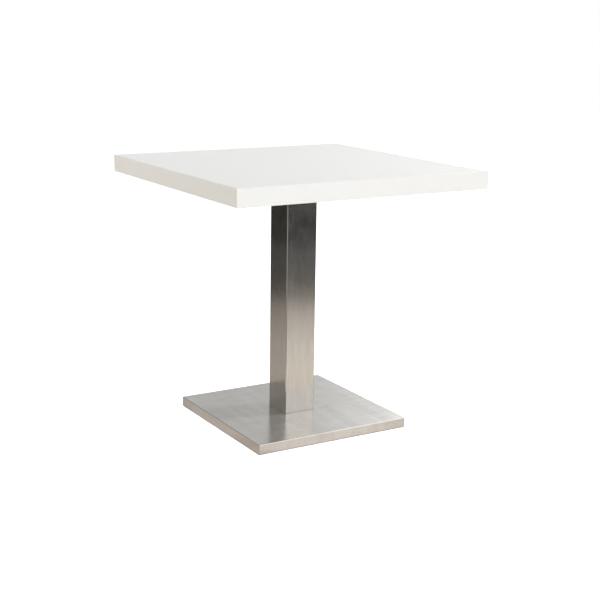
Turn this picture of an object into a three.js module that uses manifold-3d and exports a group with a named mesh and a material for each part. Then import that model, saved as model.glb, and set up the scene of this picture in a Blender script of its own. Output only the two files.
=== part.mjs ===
// Square bistro table. A 50 mm built-up laminate top is screwed to a cast-iron spider, a
// tie rod pulls the spider down on a square stainless column, and the column stands on a
// folded stainless cover over a cast-iron ballast plate with four levelling glides.
// Millimetres, +Z up. The origin is on the floor under the middle of the table, and -Y is
// the front.

import * as THREE from "three";
import Module from "manifold-3d";
import { mergeVertices } from "three/addons/utils/BufferGeometryUtils.js";

const wasm = await Module();
wasm.setup();

// ---- driving dimensions ---------------------------------------------------------------

const TABLE_HEIGHT = 780;
const TOP_SIZE = 800;
const TOP_THICKNESS = 50;
const COLUMN_SIZE = 100;
const BASE_SIZE = 500;
const BASE_HEIGHT = 30;

// a glue line or a bolted joint is drawn as a gap this wide
const GLUE = 0.1;
// shapes that are joined run this far into each other, and cutters run past the faces they cut
const OVERRUN = 1;
// room round a fastener in its hole, and round its head in a countersink
const HOLE_CLEARANCE = 0.35;
const COUNTERSINK_CLEARANCE = 0.8;

// tabletop
const BAND_THICKNESS = 2;
const LAMINATE_THICKNESS = 0.8;
const BOARD_THICKNESS = 25;
const BACKING_THICKNESS = 0.4;
const STRIP_WIDTH = 80;
const BOARD_SIZE = TOP_SIZE - 2 * (BAND_THICKNESS + GLUE);
const RECESS_SIZE = BOARD_SIZE - 2 * STRIP_WIDTH;
const TOP_UNDERSIDE = TABLE_HEIGHT - TOP_THICKNESS;
const BOARD_TOP = TABLE_HEIGHT - LAMINATE_THICKNESS - GLUE;
const BOARD_BOTTOM = BOARD_TOP - BOARD_THICKNESS;
const STRIP_THICKNESS = BOARD_BOTTOM - GLUE - TOP_UNDERSIDE;
const BACKING_BOTTOM = BOARD_BOTTOM - GLUE - BACKING_THICKNESS;

// column
const COLUMN_WALL = 1.5;
const COLUMN_CORNER = 3;
const COLUMN_BOTTOM = BASE_HEIGHT + GLUE;
const COLUMN_IN_RECESS = 1;
const COLUMN_TOP = TOP_UNDERSIDE + COLUMN_IN_RECESS;
const COLUMN_FIT = 0.3;
const INSIDE_COLUMN = COLUMN_SIZE - 2 * (COLUMN_WALL + COLUMN_FIT);

// spider, the casting that joins the column to the top
const SPIDER_TOP = BACKING_BOTTOM - GLUE;
const SPIDER_SPAN = 500;
const ARM_PLATE = 6;
const ARM_ROOT_WIDTH = 64;
const ARM_TIP_RADIUS = 20;
const RIB_WIDTH = 5;
const RIB_DEPTH = 13;
const HUB_SIZE = 112;
const HUB_CORNER = 10;
const HUB_BOTTOM = COLUMN_TOP + GLUE;
const HUB_POCKET_RADIUS = 20;
const HUB_WEB_TOP = 734;
const HUB_WEB_BOTTOM = 726;
const SPIGOT_BOTTOM = 716;
const SPIGOT_WALL = 7;
const SPIGOT_INSIDE_CORNER = 4;
const SPIDER_SCREW_RADII = { inner: 125, outer: 228 };

// wood screws, 4.5 x 20 with a countersunk head
const WOOD_SCREW_LENGTH = 20;
const WOOD_SCREW_RADIUS = 2.25;
const WOOD_SCREW_HEAD_RADIUS = 4.4;
const WOOD_SCREW_TIP = { length: 5, radius: 0.6 };
const WOOD_SCREW_HOLE = WOOD_SCREW_RADIUS + HOLE_CLEARANCE;
const WOOD_SCREW_END = SPIDER_TOP - ARM_PLATE + WOOD_SCREW_LENGTH;
const SCREW_HEAD_RIM = 0.4;

// M12 tie rod with its nuts and washers
const ROD_RADIUS = 5.9;
const ROD_BOTTOM = 5;
const ROD_TOP = 752;
const ROD_HOLE_RADIUS = 7;
const NUT_ACROSS_FLATS = 19;
const NUT_HEIGHT = 10.8;
const NUT_HOLE_RADIUS = 6.2;
const WASHER_RADIUS = 12;
const WASHER_THICKNESS = 2.5;
const SPRING_WASHER_RADIUS = 10.2;

// base cover and ballast plate
const COVER_SHEET = 1;
const COVER_CORNER = 2;
const SKIRT_CLEARANCE = 2;
const BALLAST_SIZE = 494;
const BALLAST_GAP = 0.2;
const BALLAST_TOP = BASE_HEIGHT - COVER_SHEET - BALLAST_GAP;
const BALLAST_BOTTOM = 14.2;
const BALLAST_CORNER = 6;
const NUT_POCKET_RADIUS = 17;
const NUT_POCKET_DEPTH = 6;

// plate inside the column's foot, held by four M6 x 20 countersunk screws
const SEAT_THICKNESS = 8;
const SEAT_BOTTOM = BASE_HEIGHT + GLUE;
const SEAT_TOP = SEAT_BOTTOM + SEAT_THICKNESS;
const SEAT_SCREW_OFFSET = 34;
const SEAT_SCREW_RADIUS = 2.95;
const SEAT_SCREW_HOLE = SEAT_SCREW_RADIUS + HOLE_CLEARANCE;
const SEAT_SCREW_HEAD_RADIUS = 5.8;
const SEAT_SCREW_LENGTH = 20;
const SEAT_SCREW_TIP = { length: 1, radius: 2.45 };

// levelling glides: a nylon pad on an M8 stud
const GLIDE_OFFSET = 205;
const PAD_RADIUS = 16;
const PAD_HEIGHT = 8;
const PAD_EDGE = 1.5;
const PAD_SHOULDER = 5.5;
const PAD_CAP_RADIUS = 11;
const PAD_SOCKET_FLOOR = 4;
const PAD_SOCKET_CLEARANCE = 0.2;
const STUD_RADIUS = 3.95;
const STUD_HOLE_RADIUS = 4.3;
const STUD_BOTTOM = 4.3;
const STUD_TOP = 27;
const STUD_CHAMFER = 0.6;
const STUD_COLLAR_RADIUS = 6.5;
const STUD_COLLAR_TOP = 6.8;
const BOSS_RADIUS = 25;
const BOSS_GAP = 0.2;
const BOSS_BOTTOM = PAD_HEIGHT + BOSS_GAP;

// the four sides and the four corners, each with its direction
const SIDES = { right: [1, 0], back: [0, 1], left: [-1, 0], front: [0, -1] };
const CORNERS = {
  front_left: [-1, -1],
  front_right: [1, -1],
  back_right: [1, 1],
  back_left: [-1, 1],
};

// ---- finishes -------------------------------------------------------------------------

const FINISHES = {
  laminate: { color: "#ecebe7", roughness: 0.42, metalness: 0 },
  edge_band: { color: "#ebe7dd", roughness: 0.5, metalness: 0 },
  chipboard: { color: "#b99e76", roughness: 0.9, metalness: 0 },
  backing: { color: "#d8d3c8", roughness: 0.7, metalness: 0 },
  cast_iron: { color: "#2b2c2d", roughness: 0.75, metalness: 0.3 },
  stainless: { color: "#b9b3a8", roughness: 0.32, metalness: 1 },
  zinc: { color: "#a9abad", roughness: 0.4, metalness: 1 },
  nylon: { color: "#1b1b1c", roughness: 0.55, metalness: 0 },
};

// ---- solids ---------------------------------------------------------------------------

function toSolid(geometry) {
  const bare = geometry.clone();
  bare.deleteAttribute("normal");
  bare.deleteAttribute("uv");
  const merged = mergeVertices(bare, 1e-4);
  const corners = merged.index.array;
  const triangles = [];
  for (let i = 0; i < corners.length; i += 3) {
    const [a, b, c] = corners.slice(i, i + 3);
    if (a !== b && b !== c && c !== a) triangles.push(a, b, c);
  }
  return new wasm.Manifold(new wasm.Mesh({
    numProp: 3,
    vertProperties: new Float32Array(merged.attributes.position.array),
    triVerts: new Uint32Array(triangles),
  }));
}

function toGeometry(solid) {
  const mesh = solid.getMesh();
  const geometry = new THREE.BufferGeometry();
  geometry.setAttribute("position", new THREE.BufferAttribute(mesh.vertProperties, 3));
  geometry.setIndex(new THREE.BufferAttribute(mesh.triVerts, 1));
  geometry.computeVertexNormals();
  return geometry;
}

function join(...geometries) {
  return toGeometry(geometries.map(toSolid).reduce((whole, next) => whole.add(next)));
}

function cut(geometry, ...tools) {
  return toGeometry(tools.map(toSolid).reduce((rest, tool) => rest.subtract(tool), toSolid(geometry)));
}

// ---- basic shapes ---------------------------------------------------------------------

function block(width, depth, bottom, top, x = 0, y = 0) {
  const geometry = new THREE.BoxGeometry(width, depth, top - bottom);
  return geometry.translate(x, y, (bottom + top) / 2);
}

function rod(radius, bottom, top, x = 0, y = 0, sides = 32) {
  const geometry = new THREE.CylinderGeometry(radius, radius, top - bottom, sides);
  return geometry.rotateX(Math.PI / 2).translate(x, y, (bottom + top) / 2);
}

function roundedSquare(size, radius) {
  const far = size / 2;
  const near = far - radius;
  const shape = new THREE.Shape();
  shape.moveTo(near, -far);
  shape.absarc(near, -near, radius, -Math.PI / 2, 0);
  shape.absarc(near, near, radius, 0, Math.PI / 2);
  shape.absarc(-near, near, radius, Math.PI / 2, Math.PI);
  shape.absarc(-near, -near, radius, Math.PI, Math.PI * 1.5);
  return shape;
}

function circle(radius, x = 0, y = 0) {
  const path = new THREE.Path();
  path.absarc(x, y, radius, 0, Math.PI * 2);
  return path;
}

function prism(shape, bottom, top, curveSegments = 2) {
  const options = { depth: top - bottom, bevelEnabled: false, curveSegments };
  return new THREE.ExtrudeGeometry(shape, options).translate(0, 0, bottom);
}

function squareTube(size, radius, wall, bottom, top) {
  const shape = roundedSquare(size, radius);
  shape.holes.push(roundedSquare(size - 2 * wall, radius - wall));
  return prism(shape, bottom, top);
}

// a turned shape from its outline: radius and height, from the axis back to the axis
function turned(outline, sides = 16) {
  const points = outline.map(([radius, height]) => new THREE.Vector2(radius, height));
  return new THREE.LatheGeometry(points, sides).rotateX(Math.PI / 2);
}

function ring(radius, holeRadius, bottom, top) {
  const shape = new THREE.Shape().absarc(0, 0, radius, 0, Math.PI * 2);
  shape.holes.push(circle(holeRadius));
  return prism(shape, bottom, top, 12);
}

// ---- the tabletop ---------------------------------------------------------------------

function topBoard() {
  const pilots = spiderScrewPlaces().map(({ x, y }) =>
    rod(WOOD_SCREW_HOLE, BOARD_BOTTOM - OVERRUN, WOOD_SCREW_END + HOLE_CLEARANCE, x, y, 12));
  return cut(block(BOARD_SIZE, BOARD_SIZE, BOARD_BOTTOM, BOARD_TOP), ...pilots);
}

function backingLaminate() {
  const size = RECESS_SIZE - 2 * GLUE;
  const holes = spiderScrewPlaces().map(({ x, y }) =>
    rod(WOOD_SCREW_HOLE, BACKING_BOTTOM - OVERRUN, BOARD_BOTTOM, x, y, 12));
  return cut(block(size, size, BACKING_BOTTOM, BACKING_BOTTOM + BACKING_THICKNESS), ...holes);
}

function edgeStrip([dx, dy]) {
  const reach = (BOARD_SIZE - STRIP_WIDTH) / 2;
  const length = dx ? RECESS_SIZE - 2 * GLUE : BOARD_SIZE;
  const width = dx ? STRIP_WIDTH : length;
  const depth = dx ? length : STRIP_WIDTH;
  return block(width, depth, TOP_UNDERSIDE, TOP_UNDERSIDE + STRIP_THICKNESS, dx * reach, dy * reach);
}

function edgeBand([dx, dy]) {
  const reach = (TOP_SIZE - BAND_THICKNESS) / 2;
  const width = dx ? BAND_THICKNESS : TOP_SIZE;
  const depth = dx ? BOARD_SIZE : BAND_THICKNESS;
  return block(width, depth, TOP_UNDERSIDE, TABLE_HEIGHT, dx * reach, dy * reach);
}

// ---- the spider and its screws --------------------------------------------------------

function spiderScrewPlaces() {
  return Object.entries(SIDES).flatMap(([side, [dx, dy]]) =>
    Object.entries(SPIDER_SCREW_RADII).map(([place, radius]) => (
      { name: `spider_screw_${side}_${place}`, x: dx * radius, y: dy * radius })));
}

// one arm along +X: a tapered plate with a round tip, and a rib down each edge
function spiderArm() {
  const reach = SPIDER_SPAN / 2 - ARM_TIP_RADIUS;
  const taper = Math.atan2(ARM_ROOT_WIDTH / 2 - ARM_TIP_RADIUS, reach);
  const plate = new THREE.Shape();
  plate.moveTo(0, ARM_ROOT_WIDTH / 2);
  plate.lineTo(0, -ARM_ROOT_WIDTH / 2);
  plate.absarc(reach, 0, ARM_TIP_RADIUS, -Math.PI / 2 + taper, Math.PI / 2 - taper);

  const rib = new THREE.Shape();
  rib.moveTo(HUB_SIZE / 4, OVERRUN);
  rib.lineTo(reach, OVERRUN);
  rib.lineTo(reach, 0);
  rib.lineTo(HUB_SIZE / 2, -RIB_DEPTH);
  rib.lineTo(HUB_SIZE / 4, -RIB_DEPTH);
  const ribs = [-1, 1].map((side) => {
    const options = { depth: RIB_WIDTH, bevelEnabled: false };
    const geometry = new THREE.ExtrudeGeometry(rib, options).translate(0, 0, -RIB_WIDTH / 2);
    geometry.rotateX(Math.PI / 2);
    geometry.rotateZ(-side * taper);
    return geometry.translate(0, side * (ARM_ROOT_WIDTH - RIB_WIDTH) / 2, SPIDER_TOP - ARM_PLATE);
  });
  return join(prism(plate, SPIDER_TOP - ARM_PLATE, SPIDER_TOP, 12), ...ribs);
}

function spider() {
  const arms = Object.values(SIDES).map(([dx, dy]) =>
    spiderArm().rotateZ(Math.atan2(dy, dx)));
  const hub = prism(roundedSquare(HUB_SIZE, HUB_CORNER), HUB_BOTTOM, SPIDER_TOP);
  const spigot = prism(roundedSquare(INSIDE_COLUMN, COLUMN_CORNER), SPIGOT_BOTTOM, HUB_WEB_TOP);
  const hollowShape = roundedSquare(INSIDE_COLUMN - 2 * SPIGOT_WALL, SPIGOT_INSIDE_CORNER);
  const hollow = prism(hollowShape, SPIGOT_BOTTOM - OVERRUN, HUB_WEB_BOTTOM);
  const pocket = rod(HUB_POCKET_RADIUS, HUB_WEB_TOP, SPIDER_TOP + OVERRUN);
  const rodHole = rod(ROD_HOLE_RADIUS, SPIGOT_BOTTOM, SPIDER_TOP);
  const screwHoles = spiderScrewPlaces().map(({ x, y }) =>
    countersunkHole(WOOD_SCREW_RADIUS, WOOD_SCREW_HEAD_RADIUS, ARM_PLATE)
      .translate(x, y, SPIDER_TOP - ARM_PLATE));
  return cut(join(hub, spigot, ...arms), hollow, pocket, rodHole, ...screwHoles);
}

// a screw that points up, with the top of its head at height 0
function countersunkScrew(radius, headRadius, length, tip) {
  return turned([
    [0, 0],
    [headRadius, 0],
    [headRadius, SCREW_HEAD_RIM],
    [radius, headRadius - radius + SCREW_HEAD_RIM],
    [radius, length - tip.length],
    [tip.radius, length],
    [0, length],
  ], 12);
}

// a cutter for that screw's hole through a plate
function countersunkHole(radius, headRadius, plateThickness) {
  const hole = radius + HOLE_CLEARANCE;
  const mouth = headRadius + COUNTERSINK_CLEARANCE;
  return turned([
    [0, -OVERRUN],
    [mouth + OVERRUN, -OVERRUN],
    [mouth, 0],
    [hole, mouth - hole],
    [hole, plateThickness + OVERRUN],
    [0, plateThickness + OVERRUN],
  ]);
}

// ---- the tie rod and its nuts and washers ---------------------------------------------

function nut(bottom) {
  const shape = new THREE.Shape();
  const cornerRadius = NUT_ACROSS_FLATS / Math.sqrt(3);
  const corners = [0, 1, 2, 3, 4, 5].map((i) => new THREE.Vector2(
    cornerRadius * Math.cos(i * Math.PI / 3),
    cornerRadius * Math.sin(i * Math.PI / 3),
  ));
  shape.setFromPoints(corners);
  shape.holes.push(circle(NUT_HOLE_RADIUS));
  return prism(shape, bottom, bottom + NUT_HEIGHT, 12);
}

// a split ring: all but a few degrees of an annulus
function springWasher(bottom) {
  const split = 0.15;
  const shape = new THREE.Shape();
  shape.absarc(0, 0, SPRING_WASHER_RADIUS, split, Math.PI * 2 - split);
  shape.absarc(0, 0, NUT_HOLE_RADIUS, Math.PI * 2 - split, split, true);
  return prism(shape, bottom, bottom + WASHER_THICKNESS, 12);
}

// ---- the column and its seat ----------------------------------------------------------

function columnSeat() {
  const plate = prism(roundedSquare(INSIDE_COLUMN, COLUMN_CORNER), SEAT_BOTTOM, SEAT_TOP);
  const rodHole = rod(ROD_HOLE_RADIUS, SEAT_BOTTOM - OVERRUN, SEAT_TOP + OVERRUN);
  const screwHoles = Object.values(CORNERS).map(([dx, dy]) =>
    countersunkHole(SEAT_SCREW_RADIUS, SEAT_SCREW_HEAD_RADIUS, SEAT_THICKNESS)
      .rotateX(Math.PI)
      .translate(dx * SEAT_SCREW_OFFSET, dy * SEAT_SCREW_OFFSET, SEAT_TOP));
  return cut(plate, rodHole, ...screwHoles);
}

// ---- the base -------------------------------------------------------------------------

function seatScrewHoles(bottom, top) {
  return Object.values(CORNERS).map(([dx, dy]) =>
    rod(SEAT_SCREW_HOLE, bottom, top, dx * SEAT_SCREW_OFFSET, dy * SEAT_SCREW_OFFSET, 12));
}

function baseCover() {
  const outside = prism(roundedSquare(BASE_SIZE, COVER_CORNER), SKIRT_CLEARANCE, BASE_HEIGHT);
  const insideShape = roundedSquare(BASE_SIZE - 2 * COVER_SHEET, COVER_CORNER - COVER_SHEET);
  const inside = prism(insideShape, SKIRT_CLEARANCE - OVERRUN, BASE_HEIGHT - COVER_SHEET);
  const rodHole = rod(ROD_HOLE_RADIUS, BALLAST_TOP, BASE_HEIGHT + OVERRUN);
  return cut(outside, inside, rodHole, ...seatScrewHoles(BALLAST_TOP, BASE_HEIGHT + OVERRUN));
}

function ballastPlate() {
  const plate = prism(roundedSquare(BALLAST_SIZE, BALLAST_CORNER), BALLAST_BOTTOM, BALLAST_TOP);
  const glideSpots = Object.values(CORNERS).map(([dx, dy]) => [dx * GLIDE_OFFSET, dy * GLIDE_OFFSET]);
  const bosses = glideSpots.map(([x, y]) =>
    rod(BOSS_RADIUS, BOSS_BOTTOM, BALLAST_BOTTOM + OVERRUN, x, y));
  const studHoles = glideSpots.map(([x, y]) =>
    rod(STUD_HOLE_RADIUS, BOSS_BOTTOM - OVERRUN, BALLAST_TOP + OVERRUN, x, y, 24));
  const pocketTop = BALLAST_BOTTOM + NUT_POCKET_DEPTH;
  const nutPocket = rod(NUT_POCKET_RADIUS, BALLAST_BOTTOM - OVERRUN, pocketTop);
  const rodHole = rod(ROD_HOLE_RADIUS, BALLAST_BOTTOM, BALLAST_TOP + OVERRUN);
  const screwHoles = seatScrewHoles(BALLAST_BOTTOM - OVERRUN, BALLAST_TOP + OVERRUN);
  return cut(join(plate, ...bosses), ...studHoles, nutPocket, rodHole, ...screwHoles);
}

// ---- the levelling glides, drawn about their own axis ---------------------------------

// the pad, with a socket that the stud's collar turns in
function glidePad() {
  const neck = STUD_RADIUS + PAD_SOCKET_CLEARANCE;
  const socket = STUD_COLLAR_RADIUS + PAD_SOCKET_CLEARANCE;
  const socketTop = STUD_COLLAR_TOP + PAD_SOCKET_CLEARANCE;
  return turned([
    [0, 0],
    [PAD_RADIUS - PAD_EDGE, 0],
    [PAD_RADIUS, PAD_EDGE],
    [PAD_RADIUS, PAD_SHOULDER],
    [PAD_CAP_RADIUS, PAD_HEIGHT],
    [neck, PAD_HEIGHT],
    [neck, socketTop],
    [socket, socketTop],
    [socket, PAD_SOCKET_FLOOR],
    [0, PAD_SOCKET_FLOOR],
  ], 24);
}

function glideStud() {
  return turned([
    [0, STUD_BOTTOM],
    [STUD_COLLAR_RADIUS, STUD_BOTTOM],
    [STUD_COLLAR_RADIUS, STUD_COLLAR_TOP],
    [STUD_RADIUS, STUD_COLLAR_TOP],
    [STUD_RADIUS, STUD_TOP - STUD_CHAMFER],
    [STUD_RADIUS - STUD_CHAMFER, STUD_TOP],
    [0, STUD_TOP],
  ]);
}

// ---- the scene graph ------------------------------------------------------------------

function part(name, finish, geometry) {
  const mesh = new THREE.Mesh(geometry, new THREE.MeshStandardMaterial(FINISHES[finish]));
  mesh.name = name;
  return mesh;
}

const table = new THREE.Group();

const tabletop = new THREE.Group();
tabletop.add(part("top_laminate", "laminate",
  block(BOARD_SIZE, BOARD_SIZE, TABLE_HEIGHT - LAMINATE_THICKNESS, TABLE_HEIGHT)));
tabletop.add(part("top_board", "chipboard", topBoard()));
tabletop.add(part("backing_laminate", "backing", backingLaminate()));
for (const [side, direction] of Object.entries(SIDES)) {
  tabletop.add(part(`edge_strip_${side}`, "chipboard", edgeStrip(direction)));
  tabletop.add(part(`edge_band_${side}`, "edge_band", edgeBand(direction)));
}
table.add(tabletop);

const support = new THREE.Group();
support.add(part("top_spider", "cast_iron", spider()));
for (const { name, x, y } of spiderScrewPlaces()) {
  const screw = part(name, "zinc",
    countersunkScrew(WOOD_SCREW_RADIUS, WOOD_SCREW_HEAD_RADIUS, WOOD_SCREW_LENGTH, WOOD_SCREW_TIP));
  screw.position.set(x, y, SPIDER_TOP - ARM_PLATE);
  support.add(screw);
}
support.add(part("column", "stainless",
  squareTube(COLUMN_SIZE, COLUMN_CORNER, COLUMN_WALL, COLUMN_BOTTOM, COLUMN_TOP)));
support.add(part("tie_rod", "zinc", rod(ROD_RADIUS, ROD_BOTTOM, ROD_TOP, 0, 0, 24)));
const upperStack = HUB_WEB_TOP + GLUE;
const upperSpring = upperStack + WASHER_THICKNESS + GLUE;
const upperNut = upperSpring + WASHER_THICKNESS + GLUE;
support.add(part("upper_washer", "zinc",
  ring(WASHER_RADIUS, NUT_HOLE_RADIUS, upperStack, upperStack + WASHER_THICKNESS)));
support.add(part("upper_spring_washer", "zinc", springWasher(upperSpring)));
support.add(part("upper_nut", "zinc", nut(upperNut)));
table.add(support);

const base = new THREE.Group();
base.add(part("base_cover", "stainless", baseCover()));
base.add(part("ballast_plate", "cast_iron", ballastPlate()));
base.add(part("column_seat", "zinc", columnSeat()));
for (const [corner, [dx, dy]] of Object.entries(CORNERS)) {
  const screw = part(`seat_screw_${corner}`, "zinc",
    countersunkScrew(SEAT_SCREW_RADIUS, SEAT_SCREW_HEAD_RADIUS, SEAT_SCREW_LENGTH, SEAT_SCREW_TIP));
  screw.rotation.x = Math.PI;
  screw.position.set(dx * SEAT_SCREW_OFFSET, dy * SEAT_SCREW_OFFSET, SEAT_TOP);
  base.add(screw);
}
const lowerWasherTop = BALLAST_BOTTOM + NUT_POCKET_DEPTH - GLUE;
const lowerNutTop = lowerWasherTop - WASHER_THICKNESS - GLUE;
base.add(part("lower_washer", "zinc",
  ring(WASHER_RADIUS, NUT_HOLE_RADIUS, lowerWasherTop - WASHER_THICKNESS, lowerWasherTop)));
base.add(part("lower_nut", "zinc", nut(lowerNutTop - NUT_HEIGHT)));
for (const [corner, [dx, dy]] of Object.entries(CORNERS)) {
  const glide = new THREE.Group();
  glide.position.set(dx * GLIDE_OFFSET, dy * GLIDE_OFFSET, 0);
  glide.add(part(`glide_pad_${corner}`, "nylon", glidePad()));
  glide.add(part(`glide_stud_${corner}`, "zinc", glideStud()));
  base.add(glide);
}
table.add(base);

export default table;
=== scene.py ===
"""A square bistro table: white laminate top, brushed stainless column and weighted base.

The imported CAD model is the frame. Every piece that shows is built again here as a finer
mesh of the same size and rides on the same body. The stage is a pale floor with soft
studio lights. Lengths are in metres, and sizes come from the frame's boxes.
"""

import math

import bmesh
import bpy
from mathutils import Matrix, Vector


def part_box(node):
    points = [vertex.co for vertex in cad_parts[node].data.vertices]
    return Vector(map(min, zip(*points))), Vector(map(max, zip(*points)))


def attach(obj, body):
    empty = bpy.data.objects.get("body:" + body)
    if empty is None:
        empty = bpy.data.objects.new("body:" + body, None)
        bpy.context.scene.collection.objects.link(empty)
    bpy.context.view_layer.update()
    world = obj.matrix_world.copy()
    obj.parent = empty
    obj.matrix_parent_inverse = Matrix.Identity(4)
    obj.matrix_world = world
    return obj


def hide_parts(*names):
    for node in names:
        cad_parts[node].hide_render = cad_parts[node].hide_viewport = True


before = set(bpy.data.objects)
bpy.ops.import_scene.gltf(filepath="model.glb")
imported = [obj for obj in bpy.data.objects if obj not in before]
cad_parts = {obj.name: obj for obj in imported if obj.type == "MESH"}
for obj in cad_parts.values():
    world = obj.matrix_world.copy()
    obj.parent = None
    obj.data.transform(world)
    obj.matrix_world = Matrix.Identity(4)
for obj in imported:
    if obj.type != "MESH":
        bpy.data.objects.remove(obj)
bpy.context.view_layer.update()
scene = bpy.context.scene

MM = 0.001
SIDES = ("right", "back", "left", "front")
CORNERS = ("front_left", "front_right", "back_right", "back_left")


# ---- materials --------------------------------------------------------------------------


class Finish:
    """A material and short calls for the nodes that the finishes share."""

    def __init__(self, name, **surface):
        self.material = bpy.data.materials.new(name)
        self.material.use_nodes = True
        self.tree = self.material.node_tree
        self.surface = self.tree.nodes["Principled BSDF"]
        for socket, value in surface.items():
            self.surface.inputs[socket.replace("_", " ")].default_value = value

    def node(self, kind, inputs=None, **settings):
        made = self.tree.nodes.new(kind)
        for key, value in settings.items():
            setattr(made, key, value)
        for key, value in (inputs or {}).items():
            self.put(made.inputs[key], value)
        return made

    def put(self, socket, value):
        if isinstance(value, bpy.types.NodeSocket):
            self.tree.links.new(value, socket)
        else:
            socket.default_value = value

    def set(self, socket, value):
        self.put(self.surface.inputs[socket], value)

    def place(self, stretch=(1, 1, 1), source="Object"):
        """Coordinates on the piece in metres, with each axis stretched."""
        coordinates = self.node("ShaderNodeTexCoord")
        inputs = {"Vector": coordinates.outputs[source], "Scale": stretch}
        return self.node("ShaderNodeMapping", inputs).outputs["Vector"]

    def noise(self, place, scale, detail=2.0, roughness=0.5):
        inputs = {"Vector": place, "Scale": scale, "Detail": detail, "Roughness": roughness}
        return self.node("ShaderNodeTexNoise", inputs).outputs["Fac"]

    def span(self, value, low, high, start=0.0, end=1.0):
        """Maps value from start..end to low..high."""
        inputs = {"Value": value, "From Min": start, "From Max": end, "To Min": low, "To Max": high}
        return self.node("ShaderNodeMapRange", inputs).outputs["Result"]

    def sum(self, a, b, operation="ADD"):
        return self.node("ShaderNodeMath", {0: a, 1: b}, operation=operation).outputs["Value"]

    def blend(self, factor, a, b):
        mixed = self.node("ShaderNodeMix", data_type="RGBA")
        self.put(mixed.inputs["Factor"], factor)
        self.put(mixed.inputs["A"], a if isinstance(a, bpy.types.NodeSocket) else (*a, 1))
        self.put(mixed.inputs["B"], b if isinstance(b, bpy.types.NodeSocket) else (*b, 1))
        return mixed.outputs["Result"]

    def bump(self, height, strength, distance):
        inputs = {"Height": height, "Strength": strength, "Distance": distance}
        self.set("Normal", self.node("ShaderNodeBump", inputs).outputs["Normal"])


def laminate_finish():
    """Satin white laminate: a fine pearl texture, faint clouding in tone and gloss."""
    finish = Finish("white_laminate", Specular_IOR_Level=0.5)
    place = finish.place()
    pearl = finish.noise(place, 900.0, 3.0, 0.6)
    cloud = finish.noise(place, 9.0, 3.0)
    speckle = finish.span(pearl, 0.0, 1.0, 0.3, 0.7)
    tone = finish.sum(finish.sum(speckle, 0.6, "MULTIPLY"), finish.sum(cloud, 0.4, "MULTIPLY"))
    finish.set("Base Color", finish.blend(tone, (0.790, 0.788, 0.770), (0.850, 0.848, 0.832)))
    finish.set("Roughness", finish.sum(finish.span(pearl, 0.30, 0.40), finish.span(cloud, 0.0, 0.06)))
    finish.bump(pearl, 0.25, 0.00012)
    return finish.material


def edge_band_finish():
    """Extruded edging: fine lines along its length and a soft pearl speckle."""
    finish = Finish("edge_band", Specular_IOR_Level=0.45)
    lines = finish.noise(finish.place((4, 4, 1)), 700.0, 2.0)
    speckle = finish.noise(finish.place(), 1100.0, 2.0)
    cloud = finish.noise(finish.place(), 12.0, 2.0)
    tone = finish.sum(finish.sum(lines, speckle), finish.sum(cloud, 0.3, "MULTIPLY"))
    tone = finish.span(tone, 0.0, 1.0, 0.75, 1.55)
    finish.set("Base Color", finish.blend(tone, (0.800, 0.785, 0.750), (0.860, 0.850, 0.822)))
    finish.set("Roughness", finish.span(lines, 0.38, 0.52))
    finish.bump(finish.sum(lines, speckle), 0.2, 0.00012)
    return finish.material


def chipboard_finish():
    """Raw particle board on the sides, and the pale sheet that faces its underside."""
    finish = Finish("chipboard", Roughness=0.85, Specular_IOR_Level=0.25)
    place = finish.place((1, 1, 2.2))
    chips = finish.node("ShaderNodeTexVoronoi", {"Vector": place, "Scale": 420.0, "Randomness": 1.0})
    shade = finish.node("ShaderNodeSeparateColor", {"Color": chips.outputs["Color"]}).outputs["Red"]
    fibres = finish.noise(place, 2600.0, 3.0, 0.7)
    wood = finish.blend(shade, (0.30, 0.19, 0.10), (0.66, 0.50, 0.32))
    wood = finish.blend(finish.span(fibres, 0.0, 0.5), wood, (0.48, 0.34, 0.20))
    sheet = finish.blend(finish.noise(finish.place(), 500.0, 3.0), (0.60, 0.585, 0.55), (0.70, 0.69, 0.655))
    normal = finish.node("ShaderNodeNewGeometry").outputs["Normal"]
    down = finish.node("ShaderNodeSeparateXYZ", {"Vector": normal}).outputs["Z"]
    faces_down = finish.sum(down, -0.9, "LESS_THAN")
    finish.set("Base Color", finish.blend(faces_down, wood, sheet))
    finish.bump(finish.sum(shade, fibres), 0.5, 0.0002)
    return finish.material


def backing_finish():
    """The pale balancing sheet under the board, with a light paper tooth."""
    finish = Finish("backing_sheet", Specular_IOR_Level=0.35)
    tooth = finish.noise(finish.place(), 700.0, 4.0, 0.65)
    cloud = finish.noise(finish.place(), 7.0, 3.0)
    tone = finish.span(finish.sum(tooth, cloud, "MULTIPLY"), 0, 1, 0.1, 0.4)
    finish.set("Base Color", finish.blend(tone, (0.60, 0.585, 0.55), (0.71, 0.70, 0.665)))
    finish.set("Roughness", finish.span(tooth, 0.5, 0.68))
    finish.bump(tooth, 0.3, 0.0001)
    return finish.material


def cast_iron_finish():
    """Black powder coat over a sand casting: pitted, with an orange-peel skin."""
    finish = Finish("cast_iron", Specular_IOR_Level=0.5, Metallic=0.0)
    sand = finish.noise(finish.place(), 420.0, 5.0, 0.65)
    peel = finish.noise(finish.place(), 1500.0, 2.0)
    cloud = finish.noise(finish.place(), 22.0, 3.0)
    tone = finish.sum(finish.sum(sand, 0.6, "MULTIPLY"), finish.sum(cloud, 0.4, "MULTIPLY"))
    tone = finish.span(tone, 0, 1, 0.35, 0.65)
    finish.set("Base Color", finish.blend(tone, (0.016, 0.016, 0.017), (0.047, 0.047, 0.049)))
    finish.set("Roughness", finish.span(sand, 0.48, 0.72))
    finish.bump(finish.sum(sand, finish.sum(peel, 0.3, "MULTIPLY")), 0.7, 0.0005)
    return finish.material


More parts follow.
